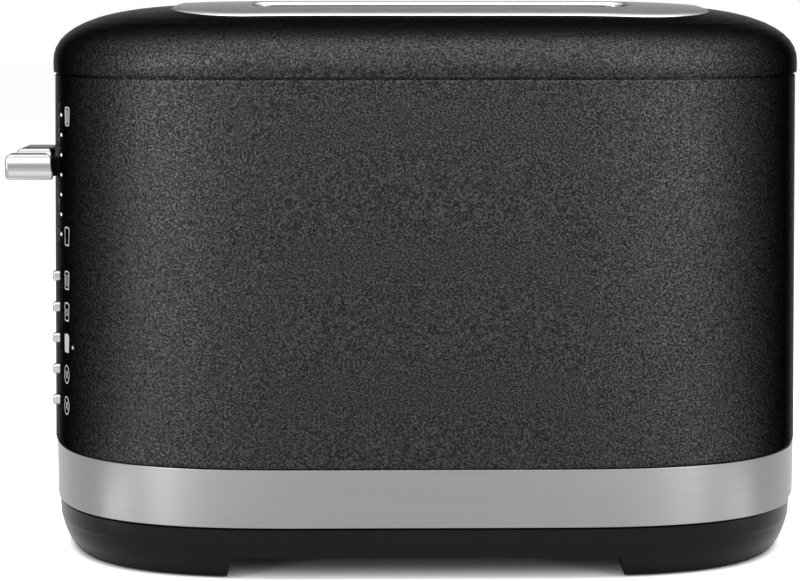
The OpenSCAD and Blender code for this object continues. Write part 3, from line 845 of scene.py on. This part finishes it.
def make_tray_panel():
    """Rear piece of the band, which is the crumb tray's handle"""
    s = shape()
    steps, half = 40, PANEL_HIGH.y
    columns = [(1, -half + 2 * half * i / steps) for i in range(steps + 1)]
    out = PANEL_HIGH.x - CENTRE_X - s.half_length - s.band_shift
    section = band_rows(out, PANEL_LOW.z, PANEL_HIGH.z, thickness=2.6 * MM, rim=0.5 * MM)
    obj = mesh_object("tray_handle_face", band_strip(columns, section, backed=True), finish_named("band"))
    bevel(obj, 0.35 * MM, segments=2, angle=50)
    return place_piece(obj, "tray", ["tray_handle_panel"])


# Section of the base from its socket inside the band down to its underside, as (height, inset from the
# flared wall, sag towards the ends) in mm
BASE_SECTION = (
    (11.0, 8.2, 0.0), (19.6, 8.2, 0.0), (19.8, 8.0, 0.0), (19.8, 2.8, 0.0), (19.3, 2.8, 0.0),
    (19.2, 1.5, 0.0), (19.0, 1.25, 0.0), (17.2, 1.34, 0.4), (15.25, 1.47, 0.95), (14.85, 1.52, 1.0),
    (14.5, 1.66, 1.0), (12.6, 1.98, 0.85), (10.4, 2.42, 0.65), (8.2, 3.0, 0.45), (6.0, 3.75, 0.3),
    (4.0, 4.65, 0.2), (2.4, 5.6, 0.1), (1.2, 6.5, 0.0), (0.75, 6.95, 0.0), (0.6, 7.5, 0.0),
    (0.6, 12.8, 0.0), (0.6, 18.6, 0.0), (0.8, 19.2, 0.0), (8.2, 19.2, 0.0),
)
SAG_AT_END = 2.3


def make_base():
    """Plastic base with a crease between two facets, an arch in its long sides and pads over the feet"""
    s = shape()
    angles = round_angles(180)
    rows = []
    for z, inset, sag in BASE_SECTION:
        row = []
        for x, y in (plan_point(t, s.flare - inset * MM) for t in angles):
            row.append(at_middle(x, y, (z - SAG_AT_END * sag * (x / s.half_length) ** 2) * MM))
        rows.append(row)
    bm = bmesh.new()
    grid = skin(bm, rows)
    bm.faces.new(grid[0])
    bm.faces.new(grid[-1][::-1])
    tub = mesh_object("base_tub", bm, finish_named("base"), sharp=38)
    arch, reach = bmesh.new(), 120 * MM
    prism(arch, arch_outline(), lambda u, v, d: at_middle(u, d, v), -reach, reach)
    cut(tub, mesh_object("arch_cutter", arch, finish_named("base")))
    bm = bmesh.new()
    bm.from_mesh(tub.data)
    mesh = tub.data
    bpy.data.objects.remove(tub)
    bpy.data.meshes.remove(mesh)
    pad_radius, pad_height, pad_middle = 9.5 * MM, 6.5 * MM, 5.2 * MM
    for x, y in foot_centres():
        add_cylinder(bm, 40, pad_radius, pad_height, Matrix.Translation((x, y, pad_middle)))
    obj = mesh_object("base_tub", bm, finish_named("base"), sharp=38)
    return place_piece(obj, "housing", ["base_pan"])


def arch_outline():
    """Side outline of the arch, with rounded upper corners"""
    middle, half, lean, height, radius = -1.2 * MM, 72 * MM, 2 * MM, 8.4 * MM, 1.8 * MM
    below, steps = -1 * MM, 6
    points = [(middle - half, below), (middle + half, below)]
    for side in (1, -1):
        cx = middle + side * (half - lean - radius)
        for i in range(steps + 1)[::side]:
            a = math.pi / 2 * i / steps
            points.append((cx + side * radius * math.cos(a), height - radius + radius * math.sin(a)))
    return points


def foot_centres():
    low, high = node_box("rubber_feet")
    radius = 8 * MM
    return [(x, y) for x in (low.x + radius, high.x - radius) for y in (low.y + radius, high.y - radius)]


# ---------------------------------------------------------------- knobs and buttons

def knob_outline(length, height):
    """Side outline of a knob with its back at 0 and its rounded tip at -length"""
    half = height / 2
    points = []
    for x, side, radius, first, last, steps in (
        (-0.9 * MM, -1, 0.9 * MM, -90, 0, 5),
        (-2.0 * MM, 1, 1.4 * MM, 10, 90, 6),
        (-length + 2.3 * MM, 1, 2.3 * MM, 90, 180, 12),
        (-length + 1.5 * MM, -1, 1.5 * MM, 180, 270, 9),
    ):
        z = side * (half - radius)
        for i in range(steps + 1):
            t = math.radians(first + (last - first) * i / steps)
            points.append((x + radius * math.cos(t), z + radius * math.sin(t)))
    return points


def rounding(radius, steps=4):
    """Steps round a quarter turn, as (how far in, how far down)"""
    turns = [math.pi / 2 * i / steps for i in range(steps + 1)]
    return [(radius * (1 - math.sin(a)), radius * (1 - math.cos(a))) for a in turns]


def make_knob(name, node, body, back_turn=0.0):
    """A bar whose long faces bulge and whose edges are finely rounded"""
    low, high = node_box(node)
    height, length, half = high.z - low.z, high.x - low.x, (high.y - low.y) / 2
    middle = Vector((high.x, (low.y + high.y) / 2, (low.z + high.z) / 2))
    outline = knob_outline(length, height)
    bulge, edge = 1.0 * MM, 0.7 * MM

    def face_y(z):
        return half - bulge * (2 * z / height) ** 2

    def ring_at(side, inset, depth):
        points = []
        for x, z in outline:
            dx = x + length / 2
            reach = math.hypot(dx, z)
            k = (reach - inset) / reach
            qx, qz = dx * k - length / 2, z * k
            y = side * (face_y(qz) - depth)
            qx -= max(0.0, y + half) * back_turn * max(0.0, (qx + length) / length)
            points.append(middle + Vector((qx, y, qz)))
        return points

    levels = rounding(edge)
    rows = [ring_at(-1, *level) for level in levels]
    rows += [ring_at(1, *level) for level in reversed(levels)]
    bm = bmesh.new()
    grid = skin(bm, rows)
    for row, side in ((grid[0], -1), (grid[-1], 1)):
        cap_face(bm, row, middle, side, face_y)
    obj = mesh_object(name, bm, finish_named("knob"), sharp=60)
    return place_piece(obj, body, [node])


def cap_face(bm, row, middle, side, face_y):
    """Closes a knob's long face with strips that follow its bulge"""
    strips = 14
    edges = [bm.edges.get(pair) for pair in zip(row, row[1:] + row[:1])]
    before = set(bm.faces)
    bmesh.ops.triangle_fill(bm, edges=edges, use_beauty=True)
    faces = [f for f in bm.faces if f not in before]
    geometry = faces + list({e for f in faces for e in f.edges}) + list({v for f in faces for v in f.verts})
    z_low, z_high = min(v.co.z for v in row), max(v.co.z for v in row)
    for i in range(1, strips):
        z = z_low + (z_high - z_low) * i / strips
        result = bmesh.ops.bisect_plane(bm, geom=geometry, dist=1e-7, plane_co=(0, 0, z), plane_no=(0, 0, 1))
        geometry = result["geom"]
    for vert in {v for g in geometry if isinstance(g, bmesh.types.BMFace) for v in g.verts}:
        if vert not in row:
            vert.co.y = middle.y + side * face_y(vert.co.z - middle.z)


def add_cylinder(bm, segments, radius, depth, place):
    bmesh.ops.create_cone(bm, cap_ends=True, segments=segments, radius1=radius, radius2=radius,
                          depth=depth, matrix=place)


def make_button(index):
    """A small rounded cap with a collar behind the wall and a stem to its switch"""
    node = f"button_{index}"
    low, high = node_box(node)
    centre = (low + high) / 2
    size, corner, behind_wall = 3.8 * MM, 1.1 * MM, 3.2 * MM
    back = CENTRE_X - end_wall(centre.y, flare_at(centre.z)) + behind_wall

    def outline_at(x, grow=0.0):
        width = size + 2 * grow
        return [Vector((x, centre.y + u, centre.z + v))
                for u, v in rounded_rect(width, width, corner + grow, steps=6, straights=(2, 2))]

    rows = [outline_at(back)]
    rows += [outline_at(low.x + inward, -shrunk) for inward, shrunk in rounding(0.75 * MM)]
    rows.append([p.lerp(Vector((low.x, centre.y, centre.z)), 0.4) for p in rows[-1]])
    bm = bmesh.new()
    grid = skin(bm, rows)
    bm.faces.new(grid[-1][::-1])
    guide_room, overlap = 1.8 * MM, 0.4 * MM
    collar_end = node_box("button_guide")[0].x - guide_room
    collar, stem = 3.2 * MM, 1.5 * MM
    for start, end, radius in ((back, collar_end, collar), (collar_end - overlap, high.x, stem)):
        place = Matrix.Translation(((start + end) / 2, centre.y, centre.z))
        add_cylinder(bm, 24, radius, abs(end - start), place @ Matrix.Rotation(math.pi / 2, 4, "Y"))
    obj = mesh_object(f"push_button_{index}", bm, finish_named("button"), sharp=45)
    return place_piece(obj, f"push_button_{index}", [node])


# ---------------------------------------------------------------- printed marks

DOT_Y, DOT_TOP, DOT_PITCH = -54.6 * MM, 164.3 * MM, 7.3 * MM
MARK_Y, MARK_WIDTH, MARK_HEIGHT = -61.4 * MM, 4.5 * MM, 7.0 * MM


def on_wall(y, z, lift=0.04 * MM):
    return at_middle(-end_wall(y, flare_at(z)) - lift, y, z)


def print_shape(bm, outline, hole=None):
    """Lays a flat outline (y, z) on the front wall, with an optional hole of as many points"""
    outer = [bm.verts.new(on_wall(y, z)) for y, z in outline]
    if hole is None:
        bm.faces.new(outer)
        return
    inner = [bm.verts.new(on_wall(y, z)) for y, z in hole]
    count = len(outer)
    for i in range(count):
        j = (i + 1) % count
        bm.faces.new((outer[i], outer[j], inner[j], inner[i]))


def oval(centre, half_y, half_z, points):
    turns = [2 * math.pi * i / points for i in range(points)]
    return [(centre[0] + half_y * math.cos(t), centre[1] + half_z * math.sin(t)) for t in turns]


def ring_mark(bm, centre, half_y, half_z, line):
    points = 32
    print_shape(bm, oval(centre, half_y, half_z, points), oval(centre, half_y - line, half_z - line, points))


def bar_mark(bm, start, end, width):
    (y0, z0), (y1, z1) = start, end
    length = math.hypot(y1 - y0, z1 - z0)
    ny, nz = -(z1 - z0) / length * width / 2, (y1 - y0) / length * width / 2
    print_shape(bm, [(y0 + ny, z0 + nz), (y0 - ny, z0 - nz), (y1 - ny, z1 - nz), (y1 + ny, z1 + nz)])


def bars_mark(bm, z, count, pitch, down, up, width, slant=0.0):
    """Bars side by side across a mark, in mm from its middle at height z"""
    for k in range(count):
        y = MARK_Y + (k - (count - 1) / 2) * pitch * MM
        bar_mark(bm, (y, z - down * MM), (y + slant * MM, z + up * MM), width * MM)


def slice_outline(centre, width, height):
    """Outline of a plain slice of bread: a squarish top a little wider than its foot"""
    cy, cz = centre
    w, h = width / 2, height / 2
    shoulder, crown = 0.42, 0.58
    top_steps, corner_steps = 20, 5
    points = []
    for i in range(top_steps + 1):
        a = math.pi * i / top_steps
        side = math.copysign(abs(math.cos(a)) ** 0.5, math.cos(a))
        points.append((cy + w * side, cz + h * shoulder + h * crown * math.sin(a) ** 0.5))
    foot, r = 0.86 * w, 0.5 * MM
    for side, first in ((-1, 180), (1, 270)):
        for i in range(corner_steps + 1):
            a = math.radians(first + 90 * i / corner_steps)
            points.append((cy + side * (foot - r) + r * math.cos(a), cz - h + r + r * math.sin(a)))
    return points


def slice_mark(bm, z, filled=False):
    """A slice of bread, drawn as a line or filled"""
    line = 0.5 * MM
    outline = slice_outline((MARK_Y, z), MARK_WIDTH, MARK_HEIGHT)
    ky, kz = 1 - 2 * line / MARK_WIDTH, 1 - 2 * line / MARK_HEIGHT
    hole = [(MARK_Y + (v - MARK_Y) * ky, z + (w - z) * kz) for v, w in outline]
    print_shape(bm, outline, None if filled else hole)


def make_dots():
    """Seven dots of the browning scale"""
    half_width, half_height = 1.45 * MM, 0.62 * MM
    bm = bmesh.new()
    for i in range(7):
        print_shape(bm, oval((DOT_Y, DOT_TOP - i * DOT_PITCH), half_width, half_height, points=24))
    obj = mesh_object("scale_dots", bm, finish_named("bright_ink"))
    return place_piece(obj, "housing")


def make_marks():
    """Slices at the ends of the scale, and a sign beside each button"""
    bm = bmesh.new()
    dark_z, light_z = 164.1 * MM, 120.4 * MM
    slice_mark(bm, dark_z)
    bars_mark(bm, dark_z, 4, pitch=0.8, down=2.6, up=2.5, width=0.45, slant=0.3)
    slice_mark(bm, light_z)
    barred, ringed, filled, striped, slashed = [
        box_centre(f"button_{i}").z - 0.5 * MM for i in range(1, 6)]
    slice_mark(bm, barred)
    bars_mark(bm, barred, 3, pitch=1.0, down=2.2, up=2.2, width=0.35)
    slice_mark(bm, ringed)
    ring_mark(bm, (MARK_Y, ringed - 0.2 * MM), 1.0 * MM, 1.3 * MM, 0.4 * MM)
    slice_mark(bm, filled, filled=True)
    spark_y, spark_z, spark = MARK_Y - 5.2 * MM, filled - 0.9 * MM, 0.8 * MM
    for turn in (0, 60, 120):
        dy, dz = spark * math.cos(math.radians(turn)), spark * math.sin(math.radians(turn))
        bar_mark(bm, (spark_y - dy, spark_z - dz), (spark_y + dy, spark_z + dz), 0.4 * MM)
    for z in (striped, slashed):
        ring_mark(bm, (MARK_Y, z), 2.5 * MM, 3.5 * MM, 0.45 * MM)
    bars_mark(bm, striped, 3, pitch=0.85, down=1.4, up=1.4, width=0.35)
    for sign in (-1, 1):
        dy, dz = 1.1 * MM, sign * 1.5 * MM
        bar_mark(bm, (MARK_Y - dy, slashed - dz), (MARK_Y + dy, slashed + dz), 0.45 * MM)
    obj = mesh_object("printed_marks", bm, finish_named("ink"))
    return place_piece(obj, "housing")


# ---------------------------------------------------------------- finishes of the carried-over nodes

NODE_FINISHES = {
    "rubber": ["rubber_feet"],
    "zinc": ["base_screws", "guide_rod", "lift_spring"],
    "sheet": ["front_chassis", "rear_chassis", "reflector_left", "reflector_right", "carriage_plate",
              "bread_rack_left", "bread_rack_right", "lever_arm", "crumb_tray"],
    "mica": ["heater_board_left", "heater_board_center", "heater_board_right"],
    "ribbon": ["heater_ribbon_left", "heater_ribbon_center", "heater_ribbon_right"],
    "board": ["mains_board", "control_board"],
    "blue": ["relay"],
    "pale": ["terminal_block", "button_guide"],
    "iron": ["magnet_core", "armature"],
    "copper": ["magnet_coil"],
    "brass": ["carriage_bush"],
    "base": ["board_bracket", "cord_gland"],
    "black_and_painted_shade": ["shade_stem"],
    "dark": ["shade_potentiometer", "button_switches"],
    "wire": ["bread_guide_1", "bread_guide_2", "bread_guide_3", "bread_guide_4"],
}


def finish_nodes():
    for key, names in NODE_FINISHES.items():
        for name in names:
            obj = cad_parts[name]
            obj.data.materials.clear()
            obj.data.materials.append(finish_named(key))


# ---------------------------------------------------------------- stage

# Lamps as name, azimuth from the camera's side growing to the right, elevation, distance, size, watts
LAMPS = (
    ("left_strip", -42, 15, 1.3, (0.36, 1.0), 12.0),
    ("right_strip", 42, 17, 1.3, (0.36, 1.0), 9.0),
    ("arc_low", 4, 22, 1.3, (1.2, 0.4), 5.4),
    ("arc_middle", 8, 40, 1.0, (1.2, 0.4), 1.0),
    ("arc_high", 10, 55, 0.8, (1.2, 0.3), 2.2),
    ("arc_upper", 10, 72, 0.7, (1.2, 0.3), 2.2),
    ("arc_top", 0, 90, 0.7, (1.2, 0.3), 3.4),
    ("back_high", 180, 58, 0.9, (1.2, 0.5), 0.5),
    ("side_right", 105, 48, 1.0, (0.7, 0.6), 0.5),
)
# Cards on the floor as name, x, y, size, watts
CARDS = (
    ("band_left", -0.18, -0.36, (0.20, 0.20), 0.14),
    ("band_right", 0.18, -0.36, (0.20, 0.20), 0.14),
    ("base_left", -0.195, -0.110, (0.05, 0.05), 0.035),
    ("base_right", 0.195, -0.110, (0.05, 0.05), 0.025),
)
LAMP_TARGET = (0.0, 0.0, 0.1)
CARD_HEIGHT = 2 * MM
WORLD_GREY, WORLD_GREY_SEEN = 0.0, 1.0
FLOOR_HALF = 6.0
FLOOR_GREY, FLOOR_GREY_SEEN, FLOOR_GLOW = 0.32, 0.95, 0.97
# Where the floor's glow starts and is full, as shares of the way out to the toaster's flared outline;
# inside, the missing glow is a painted shadow under the toaster
PAINTED_SHADOW_FADE_START, PAINTED_SHADOW_FADE_END = 0.81, 0.96
LENS, SENSOR = 103.66, 36.0
CLIP_NEAR, CLIP_FAR = 0.05, 30.0
CAMERA_PLACE = (CENTRE_X - 22.67 * MM, -899.8 * MM, 208.4 * MM)
# In radians, to the right and down
CAMERA_YAW, CAMERA_TILT = 0.0150, 0.1283


def point_along(obj, direction):
    obj.rotation_mode = "QUATERNION"
    obj.rotation_quaternion = direction.to_track_quat("-Z", "Y")


def area_lamp(name, place, size, power):
    """Rectangular lamp that the camera doesn't see"""
    data = bpy.data.lights.new(name, "AREA")
    data.shape = "RECTANGLE"
    data.size, data.size_y = size
    data.energy = power
    obj = bpy.data.objects.new(name, data)
    obj.location = place
    obj.visible_camera = False
    bpy.context.collection.objects.link(obj)
    return obj


def soft_lamp(name, azimuth, elevation, distance, size, power):
    """Soft box aimed at the toaster"""
    a, e = math.radians(azimuth), math.radians(elevation)
    target = Vector(LAMP_TARGET)
    direction = Vector((math.sin(a) * math.cos(e), -math.cos(a) * math.cos(e), math.sin(e)))
    obj = area_lamp(name, target + distance * direction, size, power)
    point_along(obj, target - obj.location)


def floor_card(name, x, y, size, power):
    """Soft card lying on the floor, which shines up at the band and base"""
    obj = area_lamp(name, at_middle(x, y, CARD_HEIGHT), size, power)
    obj.rotation_euler = (math.pi, 0.0, 0.0)


def footprint_reach(material):
    """0 along the middle of the toaster's footprint, 1 on its flared outline and more outside"""
    s = shape()
    place = add_node(material, "ShaderNodeSeparateXYZ", {"Vector": object_coordinates(material)}).outputs
    along = arithmetic(material, "SUBTRACT", place["X"], CENTRE_X)
    along = arithmetic(material, "SUBTRACT", arithmetic(material, "ABSOLUTE", along), s.half_straight)
    along = arithmetic(material, "MAXIMUM", along, 0.0)
    across = arithmetic(material, "ABSOLUTE", place["Y"])
    full_x, full_y = s.half_length - s.half_straight + s.flare, s.half_width + s.flare
    powers = []
    for distance, full in ((along, full_x), (across, full_y)):
        share = arithmetic(material, "DIVIDE", distance, full)
        powers.append(arithmetic(material, "POWER", share, s.plan_power))
    return arithmetic(material, "ADD", *powers)


def floor_finish():
    """Pale floor that glows white where it is seen or mirrored, with the glow faded out under the toaster,
    which paints a shadow there
    """
    material = bpy.data.materials.new("pale_floor")
    material.use_nodes = True
    material.node_tree.nodes.clear()
    from_camera = add_node(material, "ShaderNodeLightPath").outputs["Is Camera Ray"]
    colour = mixed_grey(material, from_camera, FLOOR_GREY, FLOOR_GREY_SEEN)
    diffuse = add_node(material, "ShaderNodeBsdfDiffuse", {"Color": colour})
    # The glow fades out over the toaster's footprint, which paints a shadow under it on the floor
    white = remap(material, footprint_reach(material), 0.0, FLOOR_GLOW, PAINTED_SHADOW_FADE_START, PAINTED_SHADOW_FADE_END)
    strength = arithmetic(material, "MULTIPLY", white, seen_rays(material))
    glow = add_node(material, "ShaderNodeEmission", {"Strength": strength})
    both = add_node(material, "ShaderNodeAddShader", {0: diffuse.outputs[0], 1: glow.outputs[0]})
    add_node(material, "ShaderNodeOutputMaterial", {"Surface": both.outputs[0]})
    return material


def make_world():
    """White where it is seen or mirrored, and dark for the light on matt surfaces"""
    world = bpy.data.worlds.new("studio")
    world.use_nodes = True
    world.node_tree.nodes.clear()
    bpy.context.scene.world = world
    colour = mixed_grey(world, seen_rays(world), WORLD_GREY, WORLD_GREY_SEEN)
    background = add_node(world, "ShaderNodeBackground", {"Color": colour})
    add_node(world, "ShaderNodeOutputWorld", {"Surface": background.outputs[0]})


def make_stage():
    mesh = bpy.data.meshes.new("floor")
    bm = bmesh.new()
    bmesh.ops.create_grid(bm, x_segments=8, y_segments=8, size=FLOOR_HALF)
    bm.to_mesh(mesh)
    bm.free()
    mesh.materials.append(floor_finish())
    floor = bpy.data.objects.new("floor", mesh)
    bpy.context.collection.objects.link(floor)
    for lamp in LAMPS:
        soft_lamp(*lamp)
    for card in CARDS:
        floor_card(*card)
    make_world()


def make_camera():
    data = bpy.data.cameras.new("camera")
    data.sensor_width = SENSOR
    data.lens = LENS
    data.clip_start, data.clip_end = CLIP_NEAR, CLIP_FAR
    obj = bpy.data.objects.new("camera", data)
    bpy.context.collection.objects.link(obj)
    obj.location = CAMERA_PLACE
    level, down = math.cos(CAMERA_TILT), math.sin(CAMERA_TILT)
    point_along(obj, Vector((math.sin(CAMERA_YAW) * level, math.cos(CAMERA_YAW) * level, -down)))
    bpy.context.scene.camera = obj
    bpy.context.scene.view_settings.view_transform = "Standard"


# ---------------------------------------------------------------- operators and panel

class TOASTER_OT_shells(bpy.types.Operator):
    """Builds the body shell, lid, slot plate, band and base"""

    bl_idname = "toaster.shells"
    bl_label = "Shells"

    def execute(self, context):
        make_body_shell()
        make_top_cover()
        make_slot_bezel()
        make_band()
        make_base()
        return {"FINISHED"}


class TOASTER_OT_tray_panel(bpy.types.Operator):
    """Builds the crumb tray's rear panel"""

    bl_idname = "toaster.tray_panel"
    bl_label = "Tray panel"

    def execute(self, context):
        make_tray_panel()
        return {"FINISHED"}


class TOASTER_OT_knobs(bpy.types.Operator):
    """Builds the lever knob and the shade knob"""

    bl_idname = "toaster.knobs"
    bl_label = "Knobs"

    def execute(self, context):
        make_knob("lever_knob_bar", "lever_knob", "carriage")
        make_knob("shade_knob_bar", "shade_knob", "shade_slider", back_turn=0.3)
        return {"FINISHED"}


class TOASTER_OT_buttons(bpy.types.Operator):
    """Builds the five push buttons"""

    bl_idname = "toaster.buttons"
    bl_label = "Buttons"

    def execute(self, context):
        for index in range(1, 6):
            make_button(index)
        return {"FINISHED"}


class TOASTER_OT_marks(bpy.types.Operator):
    """Prints the shade scale and the marks beside the buttons"""

    bl_idname = "toaster.marks"
    bl_label = "Marks"

    def execute(self, context):
        make_dots()
        make_marks()
        return {"FINISHED"}


class TOASTER_OT_finishes(bpy.types.Operator):
    """Gives each carried-over part its finish"""

    bl_idname = "toaster.finishes"
    bl_label = "Finishes"

    def execute(self, context):
        finish_nodes()
        return {"FINISHED"}


class TOASTER_OT_stage(bpy.types.Operator):
    """Sets the floor, the lamps and the camera"""

    bl_idname = "toaster.stage"
    bl_label = "Stage"

    def execute(self, context):
        make_camera()
        make_stage()
        return {"FINISHED"}


class TOASTER_PT_panel(bpy.types.Panel):
    """Toaster tools in the 3D view's sidebar"""

    bl_idname = "TOASTER_PT_panel"
    bl_label = "Toaster"
    bl_space_type = "VIEW_3D"
    bl_region_type = "UI"
    bl_category = "Toaster"

    def draw(self, context):
        column = self.layout.column()
        for operator in OPERATORS:
            column.operator(operator.bl_idname)
        for group in (context.scene.toaster_shape, context.scene.toaster_finish):
            for key in group.bl_rna.properties.keys():
                if key not in ("rna_type", "name"):
                    column.prop(group, key)


OPERATORS = (
    TOASTER_OT_stage, TOASTER_OT_shells, TOASTER_OT_tray_panel, TOASTER_OT_knobs, TOASTER_OT_buttons,
    TOASTER_OT_marks, TOASTER_OT_finishes,
)
CLASSES = (ToasterShape, ToasterFinish, *OPERATORS, TOASTER_PT_panel)


def register():
    for cls in CLASSES:
        bpy.utils.register_class(cls)
    bpy.types.Scene.toaster_shape = bpy.props.PointerProperty(type=ToasterShape)
    bpy.types.Scene.toaster_finish = bpy.props.PointerProperty(type=ToasterFinish)


def unregister():
    del bpy.types.Scene.toaster_finish
    del bpy.types.Scene.toaster_shape
    for cls in reversed(CLASSES):
        bpy.utils.unregister_class(cls)


def main():
    register()
    bpy.ops.toaster.stage()
    bpy.ops.toaster.shells()
    bpy.ops.toaster.tray_panel()
    bpy.ops.toaster.knobs()
    bpy.ops.toaster.buttons()
    bpy.ops.toaster.marks()
    bpy.ops.toaster.finishes()


if __name__ == "__main__":
    main()
